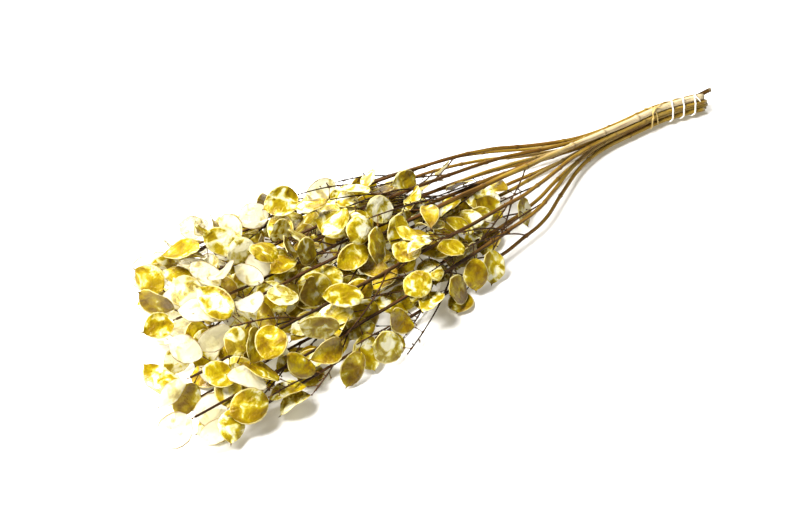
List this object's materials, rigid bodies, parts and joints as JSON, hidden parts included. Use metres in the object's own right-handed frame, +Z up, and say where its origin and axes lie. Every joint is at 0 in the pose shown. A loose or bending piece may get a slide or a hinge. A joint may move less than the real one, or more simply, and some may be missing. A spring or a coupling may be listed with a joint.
{
  "type": "honesty seed pod stem",
  "caption": "Tied bunch of dried honesty stems with flat round seed pods on branching twigs, bare stalks bound with string near the cut ends, lying flat for decoration.",
  "frame": {"origin": "on the surface the bunch lies on, under the middle of its bounding box", "axes": "+X along the bunch towards the cut ends, +Z up from the surface it lies on"},
  "size_m": [0.7468, 0.2546, 0.0844],
  "materials": {
    "dried_stem": "dry, dull, tan at the cut ends and dark brown among the pods",
    "seed_pod": "thin papery silk, golden and partly see-through, with a soft sheen",
    "white_string": "plain twisted cotton",
    "tan_straw": "dry split straw"
  },
  "bodies": {
    "root": {"stem_01": "dried_stem", "stem_02": "dried_stem", "stem_03": "dried_stem", "stem_04": "dried_stem", "stem_05": "dried_stem", "stem_06": "dried_stem", "stem_07": "dried_stem", "stem_08": "dried_stem", "stem_09": "dried_stem", "stem_10": "dried_stem", "stem_11": "dried_stem", "stem_12": "dried_stem", "stem_13": "dried_stem", "stem_14": "dried_stem", "binding_string": "white_string", "straw_tie": "tan_straw"}
  },
  "joints": []
}
